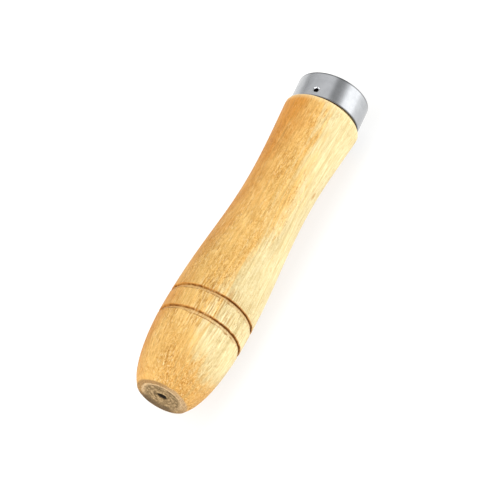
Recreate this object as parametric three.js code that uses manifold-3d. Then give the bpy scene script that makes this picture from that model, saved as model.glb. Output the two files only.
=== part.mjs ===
// Turned wooden tool handle with a pressed steel ferrule, lying on its side.
// Millimetres. +X runs from the butt to the tang end and +Z is up. The origin is the middle of
// the rectangle the handle covers, at the level of the surface it lies on.
import * as THREE from "three";
import { mergeVertices } from "three/addons/utils/BufferGeometryUtils.js";
import Module from "manifold-3d";

// Stations along the handle, from the butt face, and the radius there.
const BUTT = { at: 0, radius: 8.2 };
const BELLY = { at: 28, radius: 13.8 };
const WAIST = { at: 79, radius: 11 };
const FLARE = { at: 109, radius: 12.75 };
const SHOULDER = { at: 109.7, radius: 12.3 };
const WOOD_END_AT = 118.8;

// What bends the outline between them: the butt's bulge, how far the level stretches at the belly
// and the waist pull on each side, and the slope into the flare.
const BUTT_BULGE = { at: 4.6, radius: 11.7 };
const BELLY_PULL = [15, 50];
const WAIST_PULL = [60, 90];
const FLARE_PULL = { at: 102, radius: 12.3 };

// Two scored decorative grooves: the deepest line of each, and the cut's own section.
const GROOVES_AT = [24.3, 32.4];
const GROOVE_DEPTH = 0.7;
const GROOVE_LONG_SIDE = 1.35;
const GROOVE_STEEP_SIDE = 0.35;

// Marks and holes in the wood.
const CENTRE_MARK = { radius: 1.1, depth: 1.6 };
const BUTT_RIM = 0.7;
const MOUTH_CHAMFER = 0.6;
const TANG_HOLE_WIDE = { radius: 4.25, depth: 28 };
const TANG_HOLE_NARROW = { radius: 3.25, depth: 58 };
const TANG_HOLE_POINT = 2;

// The ferrule was driven on slightly askew, so it leans from the handle's own axis.
const FERRULE_RADIUS = 11.85;
const FERRULE_WALL = 0.8;
const FERRULE_LENGTH = 9.3;
const FERRULE_EDGE = 0.25;
const FERRULE_LEAN = THREE.MathUtils.degToRad(3.7);
const FERRULE_LEAN_TOWARDS = THREE.MathUtils.degToRad(15);

// One square-pyramid punch mark pins the ferrule to the wood. Its angle is from +Y towards +Z.
const PUNCH = { along: 2.5, angle: THREE.MathUtils.degToRad(72), halfWidth: 1.15, depth: 0.8 };
const PUNCH_OVERSHOOT = 0.6;

// Clearance between the two pieces where the real ones are a tight press fit.
const FIT_GAP = 0.2;
const PUNCH_GAP = 0.3;

const SPIGOT_CORE_RADIUS = 9;
const BOSS_NARROWING = 1.5;

// Facets round the handle and round its hole, and steps along each kind of outline curve.
const SEGMENTS = 48;
const HOLE_SEGMENTS = 24;
const CURVE_STEPS = { LineCurve: 1, QuadraticBezierCurve: 3, CubicBezierCurve: 12 };

const wasm = await Module();
wasm.setup();

// A three.js geometry as a solid that can be joined and cut.
function toSolid(geometry) {
  const bare = geometry.clone();
  bare.deleteAttribute("normal");
  bare.deleteAttribute("uv");
  const merged = mergeVertices(bare, 1e-4);
  return new wasm.Manifold(new wasm.Mesh({
    numProp: 3,
    vertProperties: new Float32Array(merged.attributes.position.array),
    triVerts: new Uint32Array(merged.index.array),
  }));
}

// A finished solid as a three.js geometry.
function toGeometry(solid) {
  const mesh = solid.getMesh();
  const geometry = new THREE.BufferGeometry();
  geometry.setAttribute("position", new THREE.BufferAttribute(mesh.vertProperties, mesh.numProp));
  geometry.setIndex(new THREE.BufferAttribute(mesh.triVerts, 1));
  geometry.computeVertexNormals();
  return geometry;
}

// Turns a profile of (radius, station) points about the X axis, with a flat facet at the bottom.
function turned(points, segments = SEGMENTS) {
  const geometry = new THREE.LatheGeometry(points, segments, Math.PI / segments);
  return geometry.rotateZ(-Math.PI / 2);
}

// The outer outline of the wood from the butt's centre to the shoulder, then a core for the spigot.
function bodyOutline() {
  const outline = new THREE.Path();
  outline.moveTo(0, CENTRE_MARK.depth);
  outline.lineTo(CENTRE_MARK.radius, BUTT.at);
  outline.lineTo(BUTT.radius - BUTT_RIM, BUTT.at);
  outline.quadraticCurveTo(BUTT.radius, BUTT.at, BUTT.radius + BUTT_RIM / 2, BUTT.at + BUTT_RIM);
  outline.bezierCurveTo(
    BUTT_BULGE.radius, BUTT_BULGE.at, BELLY.radius, BELLY_PULL[0], BELLY.radius, BELLY.at,
  );
  outline.bezierCurveTo(
    BELLY.radius, BELLY_PULL[1], WAIST.radius, WAIST_PULL[0], WAIST.radius, WAIST.at,
  );
  outline.bezierCurveTo(
    WAIST.radius, WAIST_PULL[1], FLARE_PULL.radius, FLARE_PULL.at, FLARE.radius, FLARE.at,
  );
  outline.quadraticCurveTo(FLARE.radius, SHOULDER.at, SHOULDER.radius, SHOULDER.at);
  outline.lineTo(SPIGOT_CORE_RADIUS, SHOULDER.at);
  outline.lineTo(SPIGOT_CORE_RADIUS, WOOD_END_AT);
  outline.lineTo(0, WOOD_END_AT);
  return outline;
}

// Points along an outline: more on its long curves than on its small rounded edges.
function outlinePoints(outline) {
  const points = [outline.curves[0].getPoint(0)];
  for (const curve of outline.curves) {
    points.push(...curve.getPoints(CURVE_STEPS[curve.type]).slice(1));
  }
  return points;
}

// The wood's radius at a station past the centre mark, read off the outline's points.
function radiusAt(points, station) {
  const next = points.findIndex((point) => point.y > Math.max(station, CENTRE_MARK.depth));
  const [a, b] = [points[next - 1], points[next]];
  return THREE.MathUtils.lerp(a.x, b.x, (station - a.y) / (b.y - a.y));
}

// The ring of wood that a scoring tool takes out: long wall on the butt side, steep wall beyond.
function grooveCut(points, station) {
  const surface = radiusAt(points, station);
  const bottom = surface - GROOVE_DEPTH;
  const top = surface + GROOVE_DEPTH;
  return turned([
    new THREE.Vector2(bottom, station),
    new THREE.Vector2(top, station + 2 * GROOVE_STEEP_SIDE),
    new THREE.Vector2(top, station - 2 * GROOVE_LONG_SIDE),
    new THREE.Vector2(bottom, station),
  ].reverse());
}

// The stepped pilot hole that a tang is driven into, open at the wood's end.
function tangHoleCut() {
  const end = WOOD_END_AT;
  const { radius: wide, depth: wideDepth } = TANG_HOLE_WIDE;
  const { radius: narrow, depth: narrowDepth } = TANG_HOLE_NARROW;
  return turned([
    new THREE.Vector2(0, end - narrowDepth - TANG_HOLE_POINT),
    new THREE.Vector2(narrow, end - narrowDepth),
    new THREE.Vector2(narrow, end - wideDepth),
    new THREE.Vector2(wide, end - wideDepth + wide - narrow),
    new THREE.Vector2(wide, end - MOUTH_CHAMFER),
    new THREE.Vector2(wide + 2 * MOUTH_CHAMFER, end + MOUTH_CHAMFER),
    new THREE.Vector2(0, end + MOUTH_CHAMFER),
  ], HOLE_SEGMENTS);
}

// The middle of the ferrule's lower rim, with the ferrule's axis along the seat's own X.
function ferruleSeat() {
  const lean = new THREE.Vector3(
    Math.cos(FERRULE_LEAN),
    Math.sin(FERRULE_LEAN) * Math.cos(FERRULE_LEAN_TOWARDS),
    Math.sin(FERRULE_LEAN) * Math.sin(FERRULE_LEAN_TOWARDS),
  );
  const seat = new THREE.Group();
  seat.position.x = SHOULDER.at + FERRULE_RADIUS * Math.sin(FERRULE_LEAN) + FIT_GAP;
  seat.quaternion.setFromUnitVectors(new THREE.Vector3(1, 0, 0), lean);
  seat.updateMatrix();
  return seat;
}

// The spigot inside the ferrule: it leans with the ferrule, and is cut square at both ends.
function spigot(seat) {
  const radius = FERRULE_RADIUS - FERRULE_WALL - FIT_GAP;
  const rod = turned([
    new THREE.Vector2(0, -FERRULE_LENGTH / 2),
    new THREE.Vector2(radius, -FERRULE_LENGTH / 2),
    new THREE.Vector2(radius, 1.5 * FERRULE_LENGTH),
    new THREE.Vector2(0, 1.5 * FERRULE_LENGTH),
  ]).applyMatrix4(seat.matrix);
  const start = SHOULDER.at - 1;
  const slab = new THREE.BoxGeometry(WOOD_END_AT - start, 4 * radius, 4 * radius);
  slab.translate((WOOD_END_AT + start) / 2, 0, 0);
  return toSolid(rod).intersect(toSolid(slab));
}

// A square pyramid pointing at the axis, its sides meeting the radius given at halfWidth.
function punchPyramid(surfaceRadius, halfWidth, depth) {
  const stretch = (depth + PUNCH_OVERSHOOT) / depth;
  const pyramid = new THREE.ConeGeometry(halfWidth * stretch, depth * stretch, 4);
  pyramid.rotateX(Math.PI);
  pyramid.translate(0, surfaceRadius - depth + (depth * stretch) / 2, 0);
  pyramid.rotateX(PUNCH.angle);
  return pyramid.translate(PUNCH.along, 0, 0);
}

// The blunter pyramid that the punch pushes out inside the ferrule, grown by a clearance.
function punchBoss(gap) {
  const depth = PUNCH.depth + FERRULE_WALL + gap;
  const halfWidth = (PUNCH.halfWidth * depth) / PUNCH.depth / BOSS_NARROWING;
  return punchPyramid(FERRULE_RADIUS, halfWidth, depth);
}

function handleBody(seat) {
  const points = outlinePoints(bodyOutline());
  let wood = toSolid(turned(points)).add(spigot(seat));
  for (const station of GROOVES_AT) {
    wood = wood.subtract(toSolid(grooveCut(points, station)));
  }
  wood = wood.subtract(toSolid(tangHoleCut()));
  return toGeometry(wood.subtract(toSolid(punchBoss(PUNCH_GAP).applyMatrix4(seat.matrix))));
}

function ferrule() {
  const outer = FERRULE_RADIUS;
  const inner = FERRULE_RADIUS - FERRULE_WALL;
  const edge = FERRULE_EDGE;
  const end = FERRULE_LENGTH;
  const tube = turned([
    new THREE.Vector2(inner, 0),
    new THREE.Vector2(outer - edge, 0),
    new THREE.Vector2(outer - edge * 0.3, edge * 0.3),
    new THREE.Vector2(outer, edge),
    new THREE.Vector2(outer, end - edge),
    new THREE.Vector2(outer - edge * 0.3, end - edge * 0.3),
    new THREE.Vector2(outer - edge, end),
    new THREE.Vector2(inner, end),
    new THREE.Vector2(inner, 0),
  ]);
  const bossLimit = turned([
    new THREE.Vector2(0, 0),
    new THREE.Vector2(outer - FERRULE_WALL / 2, 0),
    new THREE.Vector2(outer - FERRULE_WALL / 2, end),
    new THREE.Vector2(0, end),
  ]);
  const boss = toSolid(punchBoss(0)).intersect(toSolid(bossLimit));
  const dent = toSolid(punchPyramid(outer, PUNCH.halfWidth, PUNCH.depth));
  return toGeometry(toSolid(tube).add(boss).subtract(dent));
}

const wood = new THREE.MeshStandardMaterial({ color: 0xe3b873, roughness: 0.55, metalness: 0 });
const steel = new THREE.MeshStandardMaterial({ color: 0xb4b7ba, roughness: 0.25, metalness: 1 });

function named(name, geometry, material) {
  const mesh = new THREE.Mesh(geometry, material);
  mesh.name = name;
  return mesh;
}

const seat = ferruleSeat();
seat.add(named("ferrule", ferrule(), steel));

const handle = new THREE.Group();
handle.add(named("handle_body", handleBody(seat), wood));
handle.add(seat);

// Lay the handle on its lowest facet and centre it over the origin.
const box = new THREE.Box3().setFromObject(handle, true);
handle.position.set(-(box.min.x + box.max.x) / 2, -(box.min.y + box.max.y) / 2, -box.min.z);

const toolHandle = new THREE.Group();
toolHandle.add(handle);

export default toolHandle;
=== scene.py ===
"""Looks of a turned wooden tool handle with a steel ferrule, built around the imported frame.

Everything is in metres in the row frame: +X runs from the butt to the tang end, +Z is up.
Angles round the handle are from +Y towards +Z. Inside the materials, lengths are millimetres.
"""

import math

import bpy
import numpy as np
from mathutils import Matrix, Vector


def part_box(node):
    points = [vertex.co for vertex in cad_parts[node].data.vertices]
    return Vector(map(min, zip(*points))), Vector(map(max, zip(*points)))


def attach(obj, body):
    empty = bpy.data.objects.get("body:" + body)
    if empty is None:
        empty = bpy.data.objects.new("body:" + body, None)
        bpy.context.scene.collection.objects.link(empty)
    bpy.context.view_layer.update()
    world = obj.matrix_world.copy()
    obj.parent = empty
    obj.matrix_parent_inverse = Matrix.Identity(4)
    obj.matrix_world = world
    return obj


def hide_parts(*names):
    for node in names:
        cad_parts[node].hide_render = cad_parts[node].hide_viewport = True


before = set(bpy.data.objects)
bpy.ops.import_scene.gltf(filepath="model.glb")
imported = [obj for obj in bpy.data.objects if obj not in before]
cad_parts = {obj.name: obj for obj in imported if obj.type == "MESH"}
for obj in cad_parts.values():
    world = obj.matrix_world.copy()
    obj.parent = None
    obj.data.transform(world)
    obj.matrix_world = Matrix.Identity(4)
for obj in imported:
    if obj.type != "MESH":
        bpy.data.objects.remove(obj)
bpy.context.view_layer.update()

MM = 0.001
TAU = 2 * math.pi

# ---- Places, from the frame ---------------------------------------------------------------------

WOOD_LOW, WOOD_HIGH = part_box("handle_body")
AXIS_Z = (WOOD_LOW.z + WOOD_HIGH.z) / 2
BUTT_X = WOOD_LOW.x
WOOD_END_X = WOOD_HIGH.x
BELLY_RADIUS = (WOOD_HIGH.y - WOOD_LOW.y) / 2

# ---- The wood's outline, as (station from the butt, radius), and its hole -----------------------

# BELLY_PULL and WAIST_PULL are stations of the curves' pull points, before and after.
BUTT_RADIUS = 8.2 * MM
BUTT_RIM = 0.7 * MM
BUTT_BULGE = (4.6 * MM, 11.7 * MM)
BELLY_AT = 28 * MM
BELLY_PULL = (15 * MM, 50 * MM)
WAIST = (79 * MM, 11 * MM)
WAIST_PULL = (60 * MM, 90 * MM)
FLARE_PULL = (102 * MM, 12.3 * MM)
FLARE = (109 * MM, 12.75 * MM)
SHOULDER = (109.7 * MM, 12.3 * MM)
WOOD_END_AT = WOOD_END_X - BUTT_X

GROOVES_AT = (24.3 * MM, 32.4 * MM)
GROOVE_DEPTH = 0.7 * MM
GROOVE_LONG_SIDE = 1.35 * MM
GROOVE_STEEP_SIDE = 0.35 * MM

# The tang hole's two steps, as (radius, depth from the end face).
HOLE_WIDE = (4.25 * MM, 28 * MM)
HOLE_NARROW = (3.25 * MM, 58 * MM)
HOLE_POINT = 2 * MM
MOUTH_CHAMFER = 0.6 * MM

# ---- Sizes of the ferrule -----------------------------------------------------------------------

FERRULE_RADIUS = 11.85 * MM
FERRULE_WALL = 0.8 * MM
FERRULE_LENGTH = 9.3 * MM
FERRULE_EDGE = 0.25 * MM
FERRULE_LEAN = math.radians(3.7)
FERRULE_LEAN_TOWARDS = math.radians(15)
FIT_GAP = 0.2 * MM
PUNCH_ALONG = 2.5 * MM
PUNCH_ANGLE = math.radians(72)
PUNCH_DEPTH = 0.6 * MM

# ---- Mesh tools ---------------------------------------------------------------------------------


def bezier(start, pull_a, pull_b, end, steps):
    """Points along a cubic curve, without its first point."""
    t = np.linspace(0, 1, steps + 1)[1:, None]
    a, b, c, d = (np.array(p) for p in (start, pull_a, pull_b, end))
    return (1 - t) ** 3 * a + 3 * (1 - t) ** 2 * t * b + 3 * (1 - t) * t**2 * c + t**3 * d


def around(rng, count, angles):
    """Smooth random values from -1 to 1 round the axis, with count bumps."""
    knots = rng.uniform(-1, 1, count)
    at = (np.asarray(angles) % TAU) / TAU * count
    low = at.astype(int) % count
    t = at - np.floor(at)
    t = t * t * (3 - 2 * t)
    return knots[low] * (1 - t) + knots[(low + 1) % count] * t


def smooth_step(value, low, high):
    t = np.clip((value - low) / (high - low), 0, 1)
    return t * t * (3 - 2 * t)


def band(value, start, full, fade, end):
    """1 from full to fade, falling to 0 at start and at end."""
    return smooth_step(value, start, full) * (1 - smooth_step(value, fade, end))


def grid_faces(rings, columns, wrap_rings):
    """Quads between neighbouring rings of a grid whose columns close round the axis."""
    i = np.arange(rings if wrap_rings else rings - 1)[:, None]
    j = np.arange(columns)[None, :]
    here, beyond = i * columns, ((i + 1) % rings) * columns
    right = (j + 1) % columns
    return np.stack([here + j, here + right, beyond + right, beyond + j], -1).reshape(-1, 4)


def make_piece(name, points, faces, marks, material):
    """A smooth-shaded mesh object. marks are named values from 0 to 1 for every point."""
    mesh = bpy.data.meshes.new(name)
    mesh.from_pydata(points, [], faces)
    mesh.validate()
    for mark, values in marks.items():
        layer = mesh.attributes.new(mark, "FLOAT", "POINT")
        layer.data.foreach_set("value", np.asarray(values, np.float32).ravel())
    mesh.shade_smooth()
    mesh.materials.append(material)
    piece = bpy.data.objects.new(name, mesh)
    bpy.context.scene.collection.objects.link(piece)
    return piece


# ---- The wooden body ----------------------------------------------------------------------------

BODY_COLUMNS = 256
BODY_SEED = 7
WOOD_STEP = 0.6 * MM
WOBBLE = 0.05 * MM

# What the mesh tells the wood's material, from 0 to 1 at each point.
WOOD_MARKS = ("end_grain", "hole", "scorch", "brown", "light", "burr", "shaded", "fresh")

# The centre mark in the butt, as depth and radius from its bottom to its frayed mouth.
CENTRE_MARK = [
    (1.6 * MM, 0.85 * MM),
    (1.45 * MM, 1.15 * MM),
    (1.1 * MM, 1.4 * MM),
    (0.75 * MM, 1.6 * MM),
    (0.45 * MM, 1.75 * MM),
    (0.2 * MM, 1.9 * MM),
    (0.06 * MM, 2.05 * MM),
]
FACE_FROM = 2.25 * MM
FACE_RINGS = 40
FACE_STEP = 0.25 * MM
FACE_STEP_AT = 6.2 * MM
TOOL_MARK = 0.03 * MM
TOOL_MARK_TURNS = 8.5 / MM
# Painted shade on the butt: the outer face and the rim darken towards the bottom, in a ragged
# crescent.
SHADE_TOWARDS = math.radians(-78)
SHADE_FROM = (4.6 * MM, 5.6 * MM)
SHADE_CRESCENT = (4.9 * MM, 6.4 * MM)

# How far each side of a groove its fine rings reach, and its bands of colour across it: a scorched
# band and a browned band that also carry painted shade, and a band of painted light.
GROOVE_STEP = 0.1 * MM
GROOVE_REACH = (2.6 * MM, 1.3 * MM)
SCORCH_AND_SHADE_BAND = (-0.2 * MM, -0.02 * MM, 0.15 * MM, 0.34 * MM)
BROWN_AND_SHADE_BAND = (-0.42 * MM, -0.12 * MM, 0.3 * MM, 0.48 * MM)
LIGHT_BAND_END = (-0.45 * MM, -0.2 * MM)
# The painted shade in the grooves is weakest towards this angle round the axis, where the wall is
# lit.
GROOVE_SHADE_LEAST = math.radians(58)
BURR_WIDTH = 0.19 * MM
BURR_HEIGHT = 0.05 * MM
CHIP_DEPTH = 0.25 * MM

# Share of the painted highlight where it starts on the flare's rounded edge; it grows to full on the
# shoulder's edge.
EDGE_HIGHLIGHT = 0.45
SHARP_EDGE_TOWARDS = math.radians(170)
LEAN_DIRECTION = Vector((0, math.cos(FERRULE_LEAN_TOWARDS), math.sin(FERRULE_LEAN_TOWARDS)))

# Station of the ferrule's lower end on its axis. The end's low side just clears the shoulder.
SEAT_AT = SHOULDER[0] + FERRULE_RADIUS * math.sin(FERRULE_LEAN) + FIT_GAP
SPIGOT_RADIUS = FERRULE_RADIUS - FERRULE_WALL - FIT_GAP / 2

# Half width and depth of the pyramid that the punch pushed out inside, and of the hollow for it.
FERRULE_BOSS = (1.9 * MM, 1.45 * MM)
SPIGOT_HOLLOW = (2.2 * MM, 1.6 * MM)


class Rings:
    """The wood's surface as rings round its axis, each with its own marks."""

    def __init__(self):
        self.rng = np.random.default_rng(BODY_SEED)
        self.angles = np.arange(BODY_COLUMNS) * TAU / BODY_COLUMNS
        self.rows = []
        self.marks = {name: [] for name in WOOD_MARKS}

    def ragged(self, count):
        return around(self.rng, count, self.angles)

    def add(self, station, radius, lean=0.0, **marks):
        """Adds a ring. Its station, radius and marks are one value, or one for each column.

        lean is the share of the ferrule's lean that it follows, from 0 to 1.
        """
        shape = self.angles.shape
        radius = np.broadcast_to(radius, shape)
        offset = (station - SEAT_AT) * math.tan(FERRULE_LEAN) * lean
        x = np.broadcast_to(BUTT_X + station, shape)
        y = radius * np.cos(self.angles) + offset * LEAN_DIRECTION.y
        z = AXIS_Z + radius * np.sin(self.angles) + offset * LEAN_DIRECTION.z
        self.rows.append(np.stack([x, y, z], -1))
        for name, values in self.marks.items():
            values.append(np.broadcast_to(marks.get(name, 0.0), shape))

    def close(self, name, first_pole, last_pole, material):
        """The finished piece, with a fan of triangles at each end. The poles lie in dark holes."""
        last_row = (len(self.rows) - 1) * BODY_COLUMNS
        faces = [tuple(face) for face in grid_faces(len(self.rows), BODY_COLUMNS, False)]
        pole = len(self.rows) * BODY_COLUMNS
        for j in range(BODY_COLUMNS):
            k = (j + 1) % BODY_COLUMNS
            faces.append((pole, k, j))
            faces.append((pole + 1, last_row + j, last_row + k))
        values = {}
        for mark, rows in self.marks.items():
            values[mark] = np.concatenate([*rows, np.full(2, float(mark == "hole"))])
        points = np.vstack([*self.rows, first_pole, last_pole])
        return make_piece(name, points, faces, values, material)


def side_outline():
    """The turned outline of the wood: the butt's rim, the side and the shoulder's edge."""
    start = (BUTT_RIM, BUTT_RADIUS + BUTT_RIM / 2)
    belly, pull = (BELLY_AT, BELLY_RADIUS), BELLY_RADIUS
    rim_pull = (0, BUTT_RADIUS)
    rim = bezier((0, BUTT_RADIUS - BUTT_RIM), rim_pull, rim_pull, start, 8)
    barrel = bezier(start, BUTT_BULGE, (BELLY_PULL[0], pull), belly, 60)
    throat = bezier(belly, (BELLY_PULL[1], pull), (WAIST_PULL[0], WAIST[1]), WAIST, 60)
    flare = bezier(WAIST, (WAIST_PULL[1], WAIST[1]), FLARE_PULL, FLARE, 60)
    edge_pull = (SHOULDER[0], FLARE[1])
    edge = bezier(FLARE, edge_pull, edge_pull, SHOULDER, 8)
    return rim, np.vstack([barrel, throat, flare]), edge


def side_stations(start, end):
    """Stations along the side, close together over the grooves."""
    stations = list(np.arange(start, end - WOOD_STEP / 2, WOOD_STEP)) + [end]
    for groove in GROOVES_AT:
        low, high = groove - GROOVE_REACH[0], groove + GROOVE_REACH[1]
        middle, half = (low + high) / 2, (high - low + GROOVE_STEP) / 2
        stations = [s for s in stations if abs(s - middle) > half]
        stations += list(np.arange(low, high, GROOVE_STEP))
    return np.array(sorted(stations))


def pyramid(along, angle, half_width, depth):
    """Depth of a square pyramid under the punch mark, with its corners along and across the axis."""
    across = (angle - PUNCH_ANGLE) * FERRULE_RADIUS
    return depth * np.clip(1 - (np.abs(along - PUNCH_ALONG) + np.abs(across)) / half_width, 0, 1)


def scored_groove(rings, stations, groove):
    """Depth of one groove, and its marks: scorched bottom and browned wall, both also painted shade
    that is weaker where the wall is lit, painted light on the long wall, and torn lip.
    """
    u = stations[:, None] - groove - 0.05 * MM * rings.ragged(9)
    long_side = GROOVE_LONG_SIDE * (1 + 0.08 * rings.ragged(17))
    depth = GROOVE_DEPTH * (1 + 0.08 * rings.ragged(11))
    cut = depth * np.clip(np.where(u < 0, 1 + u / long_side, 1 - u / GROOVE_STEEP_SIDE), 0, 1)
    lip = u + long_side
    tear = smooth_step(rings.ragged(61) + 0.5 * rings.ragged(23), 0.35, 0.9)
    chip = CHIP_DEPTH * tear * smooth_step(lip, -0.6 * MM, -0.15 * MM) * (lip < 0.35 * MM)
    frayed_lip = lip + 0.12 * MM * rings.ragged(83)
    broken = smooth_step(rings.ragged(97) + 0.7 * rings.ragged(13), -0.5, 0.6)
    burr = (0.15 + 0.85 * broken) * np.exp(-((frayed_lip / BURR_WIDTH) ** 2))
    far_burr = 0.5 * np.exp(-(((u - GROOVE_STEEP_SIDE - 0.08 * MM) / (0.1 * MM)) ** 2))
    # Painted shade: the grooves darken away from the lit side.
    side_shade = smooth_step(-np.cos(rings.angles - GROOVE_SHADE_LEAST), -0.9, -0.35)
    burnt_and_shaded = 0.5 + 0.52 * side_shade + (0.3 - 0.15 * side_shade) * rings.ragged(113) + 0.12 * rings.ragged(29)
    worn_u = u + 0.07 * MM * rings.ragged(71)
    lowered = np.maximum(cut, chip) - BURR_HEIGHT * (burr * (1 - tear) + far_burr)
    return lowered, {
        "scorch": np.clip(band(worn_u, *SCORCH_AND_SHADE_BAND) * burnt_and_shaded, 0, 1),
        "brown": band(worn_u, *BROWN_AND_SHADE_BAND) * np.clip(0.4 + 0.6 * burnt_and_shaded, 0, 1),
        "light": band(u, -1.02 * long_side, -0.9 * long_side, *LIGHT_BAND_END),
        "burr": np.clip(burr + 0.5 * tear * (chip > 0.05 * MM), 0, 1),
    }


def wood_wobble(stations, angles):
    """The slight unevenness of a turned and sanded surface."""
    s = stations[:, None] / MM
    a = angles[None, :]
    wave = np.sin(s / 9 + 2 * a) + np.sin(s / 14 - 3 * a + 1) + 0.6 * np.sin(s / 5 + 5 * a + 2)
    return WOBBLE * wave / 2.6


def add_butt(rings, rim):
    """Centre mark, dished face, raised ring and rounded rim of the butt, with painted shade on its
    low side.
    """
    facing_down = np.cos(rings.angles - SHADE_TOWARDS)
    low_side = smooth_step(facing_down + 0.3 * rings.ragged(19), 0.35, 1.0)
    frayed = 1 + 0.12 * rings.ragged(9)
    for depth, radius in CENTRE_MARK:
        dark = smooth_step(depth, 0.35 * MM, 0.8 * MM)
        rings.add(depth, radius * frayed, end_grain=1, hole=dark)
    step_at = FACE_STEP_AT + 0.12 * MM * rings.ragged(13)
    for radius in np.linspace(FACE_FROM, BUTT_RADIUS - BUTT_RIM, FACE_RINGS):
        turned = TOOL_MARK * (1 + math.sin(radius * TOOL_MARK_TURNS) + rings.ragged(31))
        dished = FACE_STEP * (1 - smooth_step(radius, step_at - 0.35 * MM, step_at + 0.1 * MM))
        crescent = smooth_step(radius, *SHADE_CRESCENT) + 0.35 * rings.ragged(37)
        # Painted shade on the face's low side.
        painted_shade = low_side * np.clip(crescent * smooth_step(radius, *SHADE_FROM), 0, 1)
        rings.add(turned + dished, radius, end_grain=1, shaded=painted_shade)
    for station, radius in rim:
        worn_to = BUTT_RIM * (0.6 + 0.3 * rings.ragged(23))
        worn = 1 - smooth_step(station, 0.1 * MM, worn_to)
        # Painted shade on the rim's low side.
        painted_shade = low_side * np.clip(1 - 0.7 * station / BUTT_RIM + 0.35 * rings.ragged(37), 0, 1)
        rings.add(station, radius + 0.05 * MM * rings.ragged(41), end_grain=worn, shaded=painted_shade)


def add_side(rings, side):
    """The turned side with its grooves, up to the flare's edge, where a painted highlight starts."""
    stations = side_stations(BUTT_RIM + WOOD_STEP / 2, FLARE[0])
    radii = np.interp(stations, side[:, 0], side[:, 1])[:, None]
    radii = radii + wood_wobble(stations, rings.angles)
    marks = {}
    for groove in GROOVES_AT:
        lowered, found = scored_groove(rings, stations, groove)
        radii -= lowered
        for name, values in found.items():
            marks[name] = np.maximum(marks.get(name, 0.0), values)
    for i, station in enumerate(stations):
        edge_highlight = EDGE_HIGHLIGHT * smooth_step(station, FLARE[0] - 0.9 * MM, FLARE[0] - 0.2 * MM)
        rings.add(station, radii[i], fresh=edge_highlight, **{name: marks[name][i] for name in marks})


def add_spigot(rings, edge):
    """Shoulder and spigot, with a painted highlight on the shoulder's edge. The edge stays sharper
    where it was worn least.
    """
    for station, radius in edge:
        sharp = 0.6 * smooth_step(np.cos(rings.angles - SHARP_EDGE_TOWARDS), -0.2, 0.8)
        kept = radius + sharp * (FLARE[1] - radius) + 0.04 * MM * rings.ragged(47)
        share = smooth_step(station, FLARE[0], SHOULDER[0])
        rings.add(station, kept, fresh=EDGE_HIGHLIGHT + (1 - EDGE_HIGHLIGHT) * share)
    # The shoulder's face, with painted shade in the gap under the ferrule.
    for t in (0.35, 0.7, 1):
        radius = SHOULDER[1] * (1 - t) + SPIGOT_RADIUS * t
        rings.add(SHOULDER[0], radius, t, end_grain=t, shaded=t)
    tilt = SPIGOT_RADIUS * math.sin(FERRULE_LEAN) * np.cos(rings.angles - FERRULE_LEAN_TOWARDS)
    # The spigot under the ferrule, with some painted shade.
    for station in np.linspace(SHOULDER[0] + 0.3 * MM, WOOD_END_AT - 0.3 * MM, 24):
        hollow = pyramid(station - SEAT_AT + tilt, rings.angles, *SPIGOT_HOLLOW)
        rings.add(station, SPIGOT_RADIUS - hollow, 1, shaded=0.4)


def add_tang_hole(rings):
    """End face and stepped tang hole."""
    wide_radius, wide_depth = HOLE_WIDE
    narrow_radius, narrow_depth = HOLE_NARROW
    # The end face under the ferrule, with a little painted shade.
    for t in np.linspace(0, 1, 16):
        radius = (SPIGOT_RADIUS - 0.25 * MM) * (1 - t) + (wide_radius + MOUTH_CHAMFER) * t
        station = WOOD_END_AT + 0.03 * MM * rings.ragged(43)
        rings.add(station, radius, 1 - t, end_grain=1, shaded=0.1)
    wall = [(MOUTH_CHAMFER, wide_radius)]
    wall += [(depth, wide_radius) for depth in np.linspace(2 * MM, wide_depth - 1 * MM, 14)]
    wall += [(depth, narrow_radius) for depth in np.linspace(wide_depth, narrow_depth, 14)]
    wall += [(narrow_depth + HOLE_POINT * t, narrow_radius * (1 - t)) for t in (0.4, 0.8)]
    for depth, radius in wall:
        dark = min(1.0, 0.45 + depth / (12 * MM))
        drilled = radius + 0.05 * MM * rings.ragged(29)
        rings.add(WOOD_END_AT - depth, drilled, end_grain=0.6, hole=dark)


def make_handle_body(material):
    rings = Rings()
    rim, side, edge = side_outline()
    add_butt(rings, rim)
    add_side(rings, side)
    add_spigot(rings, edge)
    add_tang_hole(rings)
    butt_pole = (BUTT_X + CENTRE_MARK[0][0], 0, AXIS_Z)
    hole_pole = (WOOD_END_X - HOLE_NARROW[1] - HOLE_POINT, 0, AXIS_Z)
    return rings.close("turned_handle", butt_pole, hole_pole, material)


# ---- The ferrule --------------------------------------------------------------------------------

FERRULE_COLUMN = 0.34 * MM
FERRULE_STEP = 0.3 * MM
BORE_EDGE = 0.12 * MM
BORE_ROWS = 40
EDGE_ROWS = 6
SEAM_SHADE = 0.8
FERRULE_MARKS = ("pit", "bare_and_highlight", "inside", "rim")

PUNCH_STEP = 0.07 * MM
PUNCH_REACH = 2.1 * MM
PUNCH_SPAN = 1.05 * MM

# The ways that the punch mark's flat sides face, as angles from the ferrule's axis.
PUNCH_FACETS = [math.radians(a) for a in (-28, 28, 105, 180, 255)]
DENT_ANGLE = PUNCH_ANGLE + math.radians(1.4)
DISH_DEPTH, DISH_WIDTH = 0.14 * MM, 1.3 * MM
LIP_HEIGHT, LIP_WIDTH = 0.05 * MM, 0.16 * MM
PIT_RADIUS = 0.8 * MM
PIT_DEPTH = 0.3 * MM
PIT_ALONG = -0.15 * MM
CREASE_WIDTH = 0.15 * MM
CREASE_SPAN = (0.2 * MM, 0.5 * MM, 0.95 * MM, 1.2 * MM)


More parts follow.
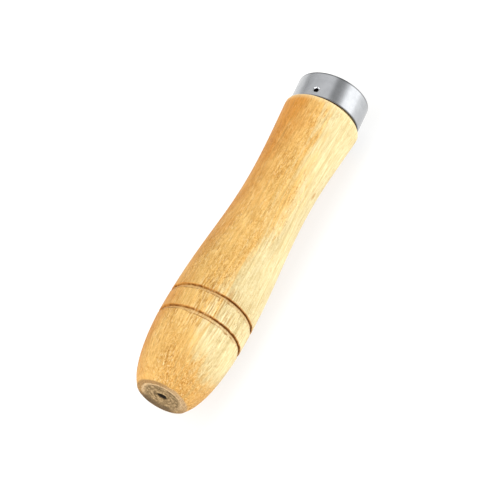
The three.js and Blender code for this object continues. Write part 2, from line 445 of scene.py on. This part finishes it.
def punch_dent(along, angle):
    """Depth of the punch mark, its black painted shade, and the lighter steel of its punched faces,
    which also gives their painted highlight.

    It is a dished rim round five flat sides, with a torn pit and a crease between two sides, both
    darkened as painted shade.
    """
    a = along - PUNCH_ALONG
    b = (angle - DENT_ANGLE) * FERRULE_RADIUS
    dish = DISH_DEPTH * np.exp(-(a**2 + b**2) / (2 * DISH_WIDTH**2))
    side = np.max([a * math.cos(f) + b * math.sin(f) for f in PUNCH_FACETS], axis=0)
    facets = PUNCH_DEPTH * np.clip(1 - side / PUNCH_SPAN, 0, 1)
    lip = LIP_HEIGHT * np.exp(-(((side - PUNCH_SPAN) / LIP_WIDTH) ** 2))
    pit_distance = np.hypot(a - PIT_ALONG, b)
    pit = smooth_step(-pit_distance, -PIT_RADIUS, -0.7 * PIT_RADIUS)
    crease = 0.9 * np.exp(-((b / CREASE_WIDTH) ** 2)) * band(a, *CREASE_SPAN)
    # Painted shade in the pit and along the crease.
    black = np.maximum(smooth_step(-pit_distance, -1.15 * PIT_RADIUS, -PIT_RADIUS), crease)
    return dish + facets - lip + PIT_DEPTH * pit, black, smooth_step(facets, 0.03 * MM, 0.12 * MM)


def spaced(low, high, step, centre, reach, fine):
    """Values from low to high, close together within reach of the centre."""
    coarse = [v for v in np.arange(low, high, step) if abs(v - centre) > reach]
    return np.array(sorted(coarse + list(np.arange(centre - reach, centre + reach, fine))))


def ferrule_section(angles):
    """Rows round the ferrule's section from its lower edge: along, radius and marks of each."""
    outer, inner = FERRULE_RADIUS, FERRULE_RADIUS - FERRULE_WALL
    top = FERRULE_LENGTH - FERRULE_EDGE
    turn = np.linspace(math.pi / 2, 0, EDGE_ROWS)
    edge = [(1 - math.sin(t), 1 - math.cos(t)) for t in turn]
    edge = [(FERRULE_EDGE * a, outer - FERRULE_EDGE * b) for a, b in edge]
    # The rounded lower edge carries painted shade from the gap at the shoulder.
    rows = [(along, radius, {"rim": SEAM_SHADE}) for along, radius in edge]
    wall = spaced(FERRULE_EDGE, top, FERRULE_STEP, PUNCH_ALONG, PUNCH_REACH, PUNCH_STEP)
    for along in wall[(wall > FERRULE_EDGE) & (wall < top)]:
        depth, pit, bare_and_highlight = punch_dent(along, angles)
        out_of_round = 0.03 * MM * np.sin(2 * angles + 0.7) + 0.012 * MM * np.sin(5 * angles)
        radius = outer - depth + out_of_round * smooth_step(along, 0, 2 * MM)
        rim = smooth_step(along, FERRULE_LENGTH - 0.7 * MM, top)
        rows.append((along, radius, {"pit": pit, "bare_and_highlight": bare_and_highlight, "rim": rim}))
    rows += [(FERRULE_LENGTH - along, radius, {"rim": 1.0}) for along, radius in edge[::-1]]
    rows.append((FERRULE_LENGTH, inner + BORE_EDGE, {"rim": 1.0}))
    for along in np.linspace(FERRULE_LENGTH - BORE_EDGE, BORE_EDGE, BORE_ROWS):
        rows.append((along, inner - pyramid(along, angles, *FERRULE_BOSS), {"inside": 1.0}))
    rows.append((0, inner + BORE_EDGE, {}))
    return rows


def make_ferrule(material):
    start = PUNCH_ANGLE - math.pi
    column, fine, reach = (v / FERRULE_RADIUS for v in (FERRULE_COLUMN, PUNCH_STEP, PUNCH_REACH))
    angles = spaced(start, start + TAU - column / 2, column, PUNCH_ANGLE, reach, fine)
    rows = ferrule_section(angles)
    points = []
    for along, radius, _ in rows:
        x = np.full(angles.shape, along)
        points.append(np.stack([x, radius * np.cos(angles), radius * np.sin(angles)], -1))
    values = {}
    for name in FERRULE_MARKS:
        found = [np.broadcast_to(marks.get(name, 0.0), angles.shape) for _, _, marks in rows]
        values[name] = np.concatenate(found)

    seat = Vector((BUTT_X + SEAT_AT, 0, AXIS_Z))
    lean = Vector((math.cos(FERRULE_LEAN), 0, 0)) + LEAN_DIRECTION * math.sin(FERRULE_LEAN)
    to_lean = Matrix(Vector((1, 0, 0)).rotation_difference(lean).to_matrix())
    points = np.vstack(points) @ np.array(to_lean).T + np.array(seat)
    faces = [tuple(face) for face in grid_faces(len(rows), len(angles), True)]
    return make_piece("steel_ferrule", points, faces, values, material)


# ---- Material tools -----------------------------------------------------------------------------


class Graph:
    """The nodes of a material or a world, built with short calls."""

    def __init__(self, owner):
        owner.use_nodes = True
        self.owner = owner
        self.nodes = owner.node_tree.nodes
        self.links = owner.node_tree.links

    def node(self, kind, inputs=None, **settings):
        made = self.nodes.new(kind)
        for key, value in settings.items():
            setattr(made, key, value)
        for key, value in (inputs or {}).items():
            self.feed(made.inputs[key], value)
        return made

    def feed(self, socket, value):
        if isinstance(value, bpy.types.NodeSocket):
            self.links.new(value, socket)
        else:
            socket.default_value = value

    def surface(self, **values):
        """Sets the shader's sockets. Each name is a socket's own name, with _ for a space."""
        shader = self.nodes["Principled BSDF"]
        for name, value in values.items():
            self.feed(shader.inputs[name.replace("_", " ")], value)

    def math(self, operation, *values, clamp=False):
        inputs = dict(enumerate(values))
        return self.node("ShaderNodeMath", inputs, operation=operation, use_clamp=clamp).outputs[0]

    def plus(self, first, second):
        return self.math("ADD", first, second)

    def minus(self, first, second):
        return self.math("SUBTRACT", first, second)

    def times(self, first, *others):
        for other in others:
            first = self.math("MULTIPLY", first, other)
        return first

    def length(self, first, second):
        """The length of the vector with these two parts."""
        squares = self.plus(self.math("POWER", first, 2.0), self.math("POWER", second, 2.0))
        return self.math("SQRT", squares)

    def place(self):
        """The point in millimetres, in the row frame."""
        here = self.node("ShaderNodeTexCoord").outputs["Object"]
        return self.stretch(here, (1 / MM, 1 / MM, 1 / MM))

    def parts(self, vector):
        return self.node("ShaderNodeSeparateXYZ", {0: vector}).outputs

    def vector(self, x, y=0.0):
        return self.node("ShaderNodeCombineXYZ", {0: x, 1: y}).outputs[0]

    def stretch(self, vector, scale):
        inputs = {0: vector, 1: scale}
        return self.node("ShaderNodeVectorMath", inputs, operation="MULTIPLY").outputs[0]

    def shift(self, vector, offset):
        inputs = {0: vector, 1: offset}
        return self.node("ShaderNodeVectorMath", inputs, operation="ADD").outputs[0]

    def noise(self, vector, detail=2.0, roughness=0.5, distortion=0.0):
        inputs = {"Vector": vector, "Scale": 1.0, "Detail": detail}
        inputs |= {"Roughness": roughness, "Distortion": distortion}
        return self.node("ShaderNodeTexNoise", inputs).outputs["Fac"]

    def between(self, value, low, high, to_low=0.0, to_high=1.0):
        """A smooth change from to_low, where the value is low, to to_high, where it is high."""
        inputs = {"Value": value, "From Min": low, "From Max": high}
        inputs |= {"To Min": to_low, "To Max": to_high}
        return self.node("ShaderNodeMapRange", inputs, interpolation_type="SMOOTHSTEP").outputs[0]

    def mix(self, amount, first, second, blend="MIX"):
        made = self.node("ShaderNodeMix", data_type="RGBA", blend_type=blend)
        for socket, value in zip((0, 6, 7), (amount, first, second), strict=True):
            self.feed(made.inputs[socket], value)
        return made.outputs[2]

    def tint(self, tone, amount, first, second):
        """The tone multiplied by a colour between first and second."""
        return self.mix(1.0, tone, self.mix(amount, first, second), "MULTIPLY")

    def ramp(self, value, stops, scale=1.0):
        """Greys along a ramp, from pairs of a value and a level. The levels are scaled."""
        low, high = stops[0][0], stops[-1][0]
        share = self.math("DIVIDE", self.minus(value, low), high - low)
        made = self.node("ShaderNodeValToRGB", {0: share})
        points = made.color_ramp.elements
        while len(points) < len(stops):
            points.new(0.5)
        for point, (position, level) in zip(points, stops, strict=True):
            point.position = (position - low) / (high - low)
            point.color = grey(level * scale)
        return made.outputs[0]

    def mark(self, name):
        return self.node("ShaderNodeAttribute", attribute_name=name).outputs["Fac"]

    def bump(self, height, distance):
        inputs = {"Height": height, "Distance": distance, "Strength": 1.0}
        return self.node("ShaderNodeBump", inputs).outputs[0]


def grey(value):
    return (value, value, value, 1)


# ---- Wood ---------------------------------------------------------------------------------------

# Growth rings, as cylinders round a pith outside the handle. Depth is how far out from the
# handle's axis a point lies towards the bark: sapwood lies outward, heartwood inward.
BARK_TOWARDS = math.radians(160)
PITH_DISTANCE = 45.0
RING_WIDTH = 1.7
RING_OFFSET = 100.0
SAP_DEPTH = (7.0, 11.0)
HEART_DEPTH = (-10.0, 6.0)

# How these depths shift along the handle: between two stations, from one shift to another.
SAP_DRIFT = (4.0, 20.0, -3.0, 0.0)
HEART_DRIFT = (25.0, 105.0, 4.0, -5.5)

# The share of curl and pores that sapwood has.
SAP_FIGURE = 0.45

# How fine each noise is along and across the handle.
BEND_SCALE = (0.018, 0.04, 0.04)
RIPPLE_SCALE = (0.07, 0.25, 0.25)
FIBRE_SCALE = (0.14, 1.9, 1.9)
STREAK_SCALE = (0.035, 0.6, 0.6)
PORE_SCALE = (0.48, 2.6, 2.6)
GLINT_SCALE = (0.5, 2.4, 2.4)
CURL_SCALE = (0.9, 1.7, 1.7)
MOTTLE_SCALE = (0.07, 0.16, 0.16)
RING_PATCH_SCALE = (0.03, 0.12, 0.12)
PORE_PATCH_SCALE = (0.05, 0.16, 0.16)
CURL_PATCH_SCALE = (0.03, 0.08, 0.08)
END_CLOUD_SCALE = (0.6, 0.6, 0.6)
END_DOT_SCALE = (1.0, 2.6, 2.6)
GLINT_SHIFT = (40, 0, 0)
WOOD_RELIEF = 0.07 * MM

# Fine lines that a chattering tool left on the land between the grooves.
CHATTER_LINES = 32.0
CHATTER_FROM, CHATTER_TO = (15.0, 24.0), (38.0, 33.0)

# Long growth lines: angle in degrees, half width and strength of each.
LONG_LINES = (
    (145, 0.9, 0.4),
    (157, 0.6, 0.2),
    (134, 0.5, 0.2),
    (118, 0.3, 0.5),
    (112, 0.3, 0.45),
    (100, 0.3, 0.35),
)
WAIST_MM = WAIST[1] / MM
KNOT_AT = (81.7, math.radians(165.2))
KNOT_SIZE = (2.4, 1.2)

# Near the butt: stations of the handling wear and of the stronger figure, and radii on its face.
HANDLED_OVER = (20.0, 3.0)
NEAR_BUTT = (18.0, 3.0)
PALE_RING_FROM = (5.7, 6.1)
RIM_FROM = (6.6, 7.0)
FACE_TURNS = 5.2

# Pale sapwood, also a painted sheen on the side facing the key light.
WOOD_SAP_AND_SHEEN = (0.665, 0.56, 0.31, 1)
WOOD_SAP_RING = (0.52, 0.40, 0.18, 1)
WOOD_PLAIN = (0.69, 0.435, 0.145, 1)
WOOD_HEART = (0.55, 0.24, 0.04, 1)
WOOD_RING = (0.46, 0.27, 0.07, 1)
WOOD_LINE = (0.44, 0.31, 0.11, 1)
WOOD_PORE = (0.38, 0.15, 0.012, 1)
WOOD_GLINT = (0.88, 0.73, 0.42, 1)
# Painted highlight on the flare's and shoulder's rounded edge.
WOOD_HIGHLIGHT = (0.84, 0.66, 0.36, 1)
# Painted shade for the shaded mark: the butt's low side, the shoulder's face by the ferrule, and the
# wood under the ferrule.
WOOD_SHADE = (0.085, 0.055, 0.028, 1)
# Painted light on the long, lit wall of each groove.
WOOD_PAINTED_LIGHT = (0.82, 0.55, 0.26, 1)
WOOD_BURR = (0.30, 0.13, 0.025, 1)
# Browned and scorched groove walls, which also carry painted shade.
WOOD_BROWNED_AND_SHADED = (0.46, 0.17, 0.02, 1)
WOOD_SCORCHED_AND_SHADED = (0.08, 0.023, 0.003, 1)
END_DISC = (0.44, 0.30, 0.15, 1)
END_DISC_DARK = (0.12, 0.075, 0.03, 1)
END_RING = (0.60, 0.41, 0.22, 1)
END_RIM = (0.35, 0.20, 0.075, 1)
HOLE_SHADE = (0.012, 0.008, 0.005, 1)

# Pairs of tints that the tone is multiplied by.
FIBRE_TINTS = (0.84, 0.80, 0.70, 1), (1.10, 1.12, 1.18, 1)
STREAK_TINTS = grey(0.94), grey(1.05)
CURL_TINTS = grey(1.04), (0.84, 0.72, 0.50, 1)
HANDLED_TINTS = grey(1.0), (0.87, 0.80, 0.72, 1)


class Wood:
    """Values all over the wood that its colours and its relief share."""

    def __init__(self, g):
        self.point = g.place()
        self.x, self.y, z = g.parts(self.point)
        self.up = g.minus(z, AXIS_Z / MM)
        self.turn = g.math("ARCTAN2", self.up, self.y)
        self.station = g.minus(self.x, BUTT_X / MM)
        self.find_rings(g)
        self.find_grain(g)

    def find_rings(self, g):
        """Growth rings, bent slowly along the grain."""
        self.bend = g.noise(g.stretch(self.point, BEND_SCALE), 1.0, 0.4)
        ripple = g.noise(g.stretch(self.point, RIPPLE_SCALE))
        across = g.plus(self.y, PITH_DISTANCE * math.cos(BARK_TOWARDS))
        above = g.plus(self.up, PITH_DISTANCE * math.sin(BARK_TOWARDS))
        outward = g.minus(g.length(across, above), PITH_DISTANCE)
        bent = g.between(self.bend, 0.2, 0.8, -1.6, 1.6)
        self.depth = g.plus(outward, g.plus(bent, g.between(ripple, 0.2, 0.8, -0.7, 0.7)))
        phase = g.math("FRACT", g.math("DIVIDE", g.plus(self.depth, RING_OFFSET), RING_WIDTH))
        self.late = g.times(g.between(phase, 0.35, 0.86), g.between(phase, 1.0, 0.9))
        strength = g.noise(g.stretch(self.point, RING_PATCH_SCALE), 1.0)
        self.ring_strength = g.between(strength, 0.3, 0.7, 0.5, 1.0)

    def find_grain(self, g):
        """Fibres, pores, glints and curly figure, drawn out along the grain."""
        point, depth, station = self.point, self.depth, self.station
        self.fibre = g.noise(g.stretch(point, FIBRE_SCALE), 4.0, 0.65, 0.2)
        self.streak = g.noise(g.stretch(point, STREAK_SCALE), 3.0, 0.6, 0.4)
        self.chatter = g.times(g.between(station, *CHATTER_FROM), g.between(station, *CHATTER_TO))
        livelier = g.times(g.between(station, *NEAR_BUTT), g.between(depth, -2.0, 6.0, -0.4, 0.7))
        lively = g.times(g.between(depth, -9.0, -4.0, 0.4, 1.0), g.plus(livelier, 1.0))
        patch = g.noise(g.stretch(point, PORE_PATCH_SCALE))
        patch = g.times(g.between(patch, 0.35, 0.6, 0.3, 1.0), lively)
        patch = g.times(patch, g.math("MULTIPLY_ADD", self.chatter, 0.35, 1.0))
        pores = g.noise(g.stretch(point, PORE_SCALE), 2.0, 0.6, 0.3)
        self.pores = g.times(g.between(pores, 0.53, 0.66), patch)
        glints = g.noise(g.shift(g.stretch(point, GLINT_SCALE), GLINT_SHIFT), 2.0, 0.6, 0.3)
        self.glints = g.times(g.between(glints, 0.55, 0.68), patch)
        curl = g.noise(g.stretch(point, CURL_SCALE), 3.0, 0.65, 1.6)
        curl_patch = g.noise(g.stretch(point, CURL_PATCH_SCALE), 1.0)
        curl_patch = g.between(curl_patch, 0.4, 0.6, 0.3, 1.0)
        self.curl = g.times(g.between(curl, 0.56, 0.40), curl_patch, lively)


def grown_tone(g, wood):
    """Heartwood and sapwood with their growth rings, figure, handling wear and pores. The sapwood
    lies on the side facing the key light, and its pale colour also carries a painted sheen.
    """
    depth, station = wood.depth, wood.station
    mottle = g.noise(g.stretch(wood.point, MOTTLE_SCALE), 3.0, 0.6, 0.8)
    heart = g.plus(depth, g.between(mottle, 0.2, 0.8, 4.0, -4.0))
    heart = g.plus(heart, g.between(station, *HEART_DRIFT))
    tone = g.mix(g.between(heart, *HEART_DEPTH), WOOD_HEART, WOOD_PLAIN)
    tone = g.mix(g.times(wood.late, wood.ring_strength, 0.3), tone, WOOD_RING)

    # Sapwood, which also carries the painted sheen.
    sap_and_sheen = g.plus(depth, g.between(wood.streak, 0.2, 0.8, 1.8, -1.8))
    sap_and_sheen = g.between(g.plus(sap_and_sheen, g.between(station, *SAP_DRIFT)), *SAP_DEPTH)
    line = g.noise(g.vector(g.times(wood.turn, 5.0), g.times(wood.x, 0.014)), 0.0)
    line = g.between(g.math("ABSOLUTE", g.minus(line, 0.5)), 0.04, 0.005)
    sap_and_sheen_tone = g.mix(g.times(line, wood.ring_strength, 0.5), WOOD_SAP_AND_SHEEN, WOOD_SAP_RING)
    tone = g.mix(sap_and_sheen, tone, sap_and_sheen_tone)

    fine = g.between(sap_and_sheen, 0.0, 1.0, 1.0, SAP_FIGURE)
    handled = g.times(g.between(station, *HANDLED_OVER), g.between(depth, -6.0, 6.0))
    tone = g.tint(tone, g.between(wood.fibre, 0.25, 0.75), *FIBRE_TINTS)
    tone = g.tint(tone, g.between(wood.streak, 0.3, 0.7), *STREAK_TINTS)
    tone = g.tint(tone, g.times(wood.curl, fine), *CURL_TINTS)
    tone = g.tint(tone, handled, *HANDLED_TINTS)
    glints = g.times(wood.glints, g.between(heart, -8.0, 4.0, 0.3, 1.0))
    tone = g.mix(g.times(glints, 0.36), tone, WOOD_GLINT)
    return g.mix(g.times(wood.pores, fine, 0.55), tone, WOOD_PORE)


def with_chatter(g, wood, tone):
    """Dark and light ticks along the axis on the land between the grooves."""
    tick = g.noise(g.vector(g.times(wood.turn, CHATTER_LINES), g.times(wood.x, 0.13)), 1.0)
    ticked = g.times(wood.chatter, g.between(wood.depth, 0.5, 5.0, 0.1, 1.0))
    ticked = g.times(ticked, g.between(wood.depth, 10.5, 13.0, 1.0, 0.4))
    tone = g.mix(g.times(ticked, g.between(tick, 0.48, 0.32, 0.0, 0.6)), tone, WOOD_PORE)
    return g.mix(g.times(ticked, g.between(tick, 0.52, 0.68, 0.0, 0.4)), tone, WOOD_GLINT)


def with_long_lines(g, wood, tone):
    """Long soft growth lines on the pale side, and thin ones where it meets the darker wood."""
    for angle, half_width, amount in LONG_LINES:
        sway = g.between(wood.bend, 0.2, 0.8, -0.1, 0.1)
        away = g.math("ABSOLUTE", g.minus(g.plus(wood.turn, sway), math.radians(angle)))
        fading = g.noise(g.vector(g.math("MULTIPLY_ADD", wood.x, 0.035, float(angle))), 0.0)
        fading = g.between(fading, 0.3, 0.5, 0.15, 1.0)
        line = g.times(g.between(away, half_width / WAIST_MM, 0.0), fading)
        tone = g.mix(g.times(line, amount), tone, WOOD_LINE)
    return tone


def knot_mark(g, wood):
    """1 at the middle of the one small dark fleck, falling to 0 at its ragged edge."""
    cos, sin = math.cos(KNOT_AT[1]), math.sin(KNOT_AT[1])
    along = g.minus(wood.station, KNOT_AT[0])
    across = g.minus(g.times(wood.up, cos), g.times(wood.y, sin))
    outward = g.plus(g.times(wood.y, cos), g.times(wood.up, sin))
    long_side, short_side = KNOT_SIZE
    reach = g.length(g.math("DIVIDE", along, long_side), g.math("DIVIDE", across, short_side))
    reach = g.plus(reach, g.times(g.noise(g.vector(along, across), 3.0, 0.6), 0.9))
    return g.times(g.between(reach, 1.35, 0.7), g.between(outward, 0.0, 1.0))


def with_grooves(g, wood, tone):
    """Painted light on the long wall, torn lip, and browned and scorched walls of the grooves, which
    also carry painted shade.
    """
    # Painted light on the groove's long wall.
    light = g.times(g.mark("light"), g.between(wood.fibre, 0.3, 0.7, 0.15, 0.55))
    tone = g.mix(light, tone, WOOD_PAINTED_LIGHT)
    tone = g.mix(g.mark("burr"), tone, WOOD_BURR)
    tone = g.mix(g.times(g.mark("brown"), 0.85), tone, WOOD_BROWNED_AND_SHADED)
    return g.mix(g.times(g.mark("scorch"), 0.95), tone, WOOD_SCORCHED_AND_SHADED)


def end_grain_tone(g, wood, dots):
    """A mottled disc with turned rings, inside a pale ring and a browner rim, with open pores. As
    painted shade, the pale ring dims towards the bottom and the rim is browner towards +Y.
    """
    cloud = g.noise(g.stretch(wood.point, END_CLOUD_SCALE), 3.0, 0.65)
    off_axis = g.plus(g.length(wood.y, wood.up), g.between(cloud, 0.2, 0.8, -0.35, 0.35))
    turned = g.math("SINE", g.times(off_axis, FACE_TURNS))
    tone = g.mix(g.between(cloud, 0.42, 0.62, 0.0, 0.8), END_DISC, END_DISC_DARK)
    tone = g.mix(g.between(turned, -0.2, 1.0, 0.0, 0.5), tone, END_DISC_DARK)
    tone = g.mix(g.times(wood.late, 0.3), tone, END_DISC_DARK)
    # Painted shade: the pale ring dims towards the bottom.
    pale = g.times(g.between(off_axis, *PALE_RING_FROM), g.between(wood.up, -5.0, 1.0, 0.25, 1.0))
    tone = g.mix(pale, tone, END_RING)
    # Brown rim, with painted shade: browner towards +Y.
    brown = g.times(g.between(off_axis, *RIM_FROM), g.between(wood.y, -6.0, 1.0, 0.4, 1.0))
    tone = g.mix(brown, tone, END_RIM)
    return g.mix(g.times(dots, 0.5), tone, END_DISC_DARK)


def wood_material():
    g = Graph(bpy.data.materials.new("pale_hardwood"))
    wood = Wood(g)
    end_grain = g.mark("end_grain")
    dots = g.between(g.noise(g.stretch(wood.point, END_DOT_SCALE), 2.0, 0.6), 0.48, 0.64)
    tone = with_chatter(g, wood, grown_tone(g, wood))
    tone = with_long_lines(g, wood, tone)
    tone = g.mix(g.times(knot_mark(g, wood), 0.6), tone, WOOD_PORE)
    tone = with_grooves(g, wood, tone)
    tone = g.mix(end_grain, tone, end_grain_tone(g, wood, dots))
    # Painted highlight on the rounded edges.
    tone = g.mix(g.times(g.mark("fresh"), 0.8), tone, WOOD_HIGHLIGHT)
    # Painted shade where the mesh marks it.
    tone = g.mix(g.times(g.mark("shaded"), 0.93), tone, WOOD_SHADE)
    tone = g.mix(g.mark("hole"), tone, HOLE_SHADE)

    rough = g.between(wood.fibre, 0.2, 0.8, 0.46, 0.58)
    for mark, added in (("end_grain", 0.3), ("scorch", 0.4), ("brown", 0.2)):
        rough = g.plus(rough, g.times(g.mark(mark), added))
    rough = g.math("ADD", rough, g.times(wood.pores, 0.12), clamp=True)
    relief = g.minus(g.times(wood.fibre, 0.6), wood.pores)
    relief = g.minus(relief, g.times(wood.curl, 0.5))
    relief = g.minus(relief, g.times(end_grain, dots))
    g.surface(Base_Color=tone, Roughness=rough, IOR=1.5, Specular_IOR_Level=0.15)
    g.surface(Normal=g.bump(relief, WOOD_RELIEF))
    return g.owner


# ---- Plated steel -------------------------------------------------------------------------------

STEEL = (0.44, 0.45, 0.465, 1)
STEEL_CLOUDED = (0.40, 0.41, 0.425, 1)
STEEL_SPECK = (0.3, 0.29, 0.28, 1)
STEEL_INSIDE = (0.28, 0.27, 0.26, 1)
# Darker ferrule edges: painted shade along the lower edge by the gap at the shoulder, and darker
# towards the far end and into the bore's mouth.
STEEL_DARK_EDGE = (0.10, 0.10, 0.105, 1)
# Uncoated steel on the punched faces, made lighter so that it also gives their painted highlight.
STEEL_BARE_AND_HIGHLIGHT = (0.66, 0.67, 0.69, 1)
# Painted shade in the punch mark's pit and crease.
PIT_SHADE = (0.006, 0.006, 0.006, 1)
CLOUD_SCALE = (0.35, 0.35, 0.35)
DRAWN_SCALE = (6.0, 0.35, 0.35)
SPECK_SCALE = (3.5, 3.5, 3.5)
STEEL_RELIEF = 0.004 * MM


def steel_material():
    g = Graph(bpy.data.materials.new("plated_steel"))
    point = g.place()
    cloud = g.noise(g.stretch(point, CLOUD_SCALE), 3.0, 0.6)
    drawn = g.noise(g.stretch(point, DRAWN_SCALE), 3.0, 0.6)
    specks = g.between(g.noise(g.stretch(point, SPECK_SCALE)), 0.68, 0.8)
    tone = g.mix(g.between(cloud, 0.3, 0.7), STEEL, STEEL_CLOUDED)
    tone = g.mix(g.times(specks, 0.25), tone, STEEL_SPECK)
    tone = g.mix(g.mark("inside"), tone, STEEL_INSIDE)
    # Lighter punched faces, partly a painted highlight.
    tone = g.mix(g.mark("bare_and_highlight"), tone, STEEL_BARE_AND_HIGHLIGHT)
    # Darker edges, with painted shade at the lower one.
    tone = g.mix(g.times(g.mark("rim"), 0.9), tone, STEEL_DARK_EDGE)
    # Painted shade in the punch mark.
    tone = g.mix(g.mark("pit"), tone, PIT_SHADE)
    rough = g.between(drawn, 0.25, 0.75, 0.17, 0.25)
    rough = g.plus(rough, g.times(g.mark("inside"), 0.25))
    rough = g.math("ADD", rough, g.times(g.mark("pit"), 0.5), clamp=True)
    relief = g.plus(drawn, g.times(cloud, 2.0))
    g.surface(Base_Color=tone, Metallic=1.0, Roughness=rough)
    g.surface(Normal=g.bump(relief, STEEL_RELIEF))
    return g.owner


# ---- Stage, light and camera --------------------------------------------------------------------

FLOOR_SIZE = 4.0
FLOOR_DROP = 0.05 * MM
FLOOR_TONE = (0.30, 0.30, 0.295, 1)

# The floor's own light, as pairs of a place in millimetres towards +Y and a level. It dips just
# beside the handle as a painted shadow, and stays higher on the +Y side as painted light that lifts
# the key light's shadow there. Beyond FLOOR_FAR the camera sees an even white there instead.
FLOOR_GLOW_AND_SHADOW = (
    (-300, 1.2), (-100, 1.1), (-50, 0.9), (-20, 0.73), (-13, 0.63), (5, 0.7), (15, 0.8),
    (85, 0.8), (130, 0.45), (300, 0.4),
)
FLOOR_GLOW_STRENGTH = 2.0
FLOOR_FAR = (60.0, 85.0)
FLOOR_FAR_GLOW = 0.45

# The room in strips along the handle, as pairs of an angle round it in degrees and a level.
ROOM_STRIPS = (
    (-180, 1.0), (-2, 0.6), (8, 0.8), (25, 1.0), (60, 1.15), (84, 1.15), (96, 0.5), (113, 0.5),
    (128, 1.0), (180, 1.0),
)

# The key strip lies between two angles and is weaker towards the butt. The wall that the butt
# faces is brighter. Both places are the X part of the direction from the handle.
KEY_RISE, KEY_FALL = (125, 143), (210, 190)
KEY_LEVEL = 1.25
KEY_BUTT_SHARE = 0.5
KEY_FULL_FROM = (-0.5, 0.2)
FRONT_WALL = (-0.15, -0.4)
FRONT_LEVEL = 2.3

# The camera looks along VIEW at AIM, from far off with a long lens.
AIM = Vector((BUTT_X + 57.1 * MM, -0.9 * MM, AXIS_Z))
VIEW = Vector((0.46211, 0.22841, -0.85690))
CAMERA_DISTANCE = 0.765
CAMERA_NEAREST = 0.01
LENS = 180.0


def make_floor():
    """A pale sheet that touches the handle's belly and its flare, which is how the handle lies."""
    g = Graph(bpy.data.materials.new("studio_floor"))
    across = g.parts(g.place())[1]
    # The floor's emission, with a painted shadow beside the handle and painted light on its +Y side.
    glow_and_shadow = g.ramp(across, FLOOR_GLOW_AND_SHADOW, 1 / FLOOR_GLOW_STRENGTH)
    seen = g.node("ShaderNodeLightPath").outputs["Is Camera Ray"]
    glow_and_shadow = g.mix(g.times(g.between(across, *FLOOR_FAR), seen), glow_and_shadow, grey(FLOOR_FAR_GLOW))
    g.surface(Base_Color=FLOOR_TONE, Roughness=0.9, Specular_IOR_Level=0.0)
    g.surface(Emission_Color=glow_and_shadow, Emission_Strength=FLOOR_GLOW_STRENGTH)
    slope = (BELLY_RADIUS - FLARE[1]) / (FLARE[0] - BELLY_AT)
    belly_x, half = BUTT_X + BELLY_AT, FLOOR_SIZE / 2
    corners = [(-half, -half), (half, -half), (half, half), (-half, half)]
    points = [(x, y, (x - belly_x) * slope - FLOOR_DROP) for x, y in corners]
    mesh = bpy.data.meshes.new("floor")
    mesh.from_pydata(points, [], [(0, 1, 2, 3)])
    mesh.materials.append(g.owner)
    floor = bpy.data.objects.new("floor", mesh)
    bpy.context.scene.collection.objects.link(floor)


def light_studio():
    """A white room in strips along the handle, with a key strip and a brighter front wall."""
    g = Graph(bpy.data.worlds.new("studio"))
    bpy.context.scene.world = g.owner
    x, y, z = g.parts(g.node("ShaderNodeTexCoord").outputs["Generated"])
    turn = g.times(g.math("ARCTAN2", z, y), 360 / TAU)
    key = g.times(g.between(turn, *KEY_RISE), g.between(turn, *KEY_FALL))
    key = g.times(key, g.between(x, *KEY_FULL_FROM, KEY_LEVEL * KEY_BUTT_SHARE, KEY_LEVEL))
    strips = g.plus(g.ramp(turn, ROOM_STRIPS), key)
    level = g.mix(g.between(x, *FRONT_WALL), strips, grey(FRONT_LEVEL))
    seen = g.node("ShaderNodeLightPath").outputs["Is Camera Ray"]
    background = g.nodes["Background"]
    g.feed(background.inputs["Color"], g.mix(seen, level, grey(1.0)))
    background.inputs["Strength"].default_value = 1.0


def place_camera():
    data = bpy.data.cameras.new("camera")
    data.lens = LENS
    data.clip_start = CAMERA_NEAREST
    camera = bpy.data.objects.new("camera", data)
    camera.location = AIM - VIEW * CAMERA_DISTANCE
    camera.rotation_euler = VIEW.to_track_quat("-Z", "Y").to_euler()
    bpy.context.scene.collection.objects.link(camera)
    bpy.context.scene.camera = camera


# ---- Assembly -----------------------------------------------------------------------------------

handle = make_handle_body(wood_material())
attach(handle, "root")
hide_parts("handle_body")

ferrule = make_ferrule(steel_material())
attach(ferrule, "root")
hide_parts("ferrule")

make_floor()
light_studio()
place_camera()
bpy.context.scene.view_settings.view_transform = "Standard"
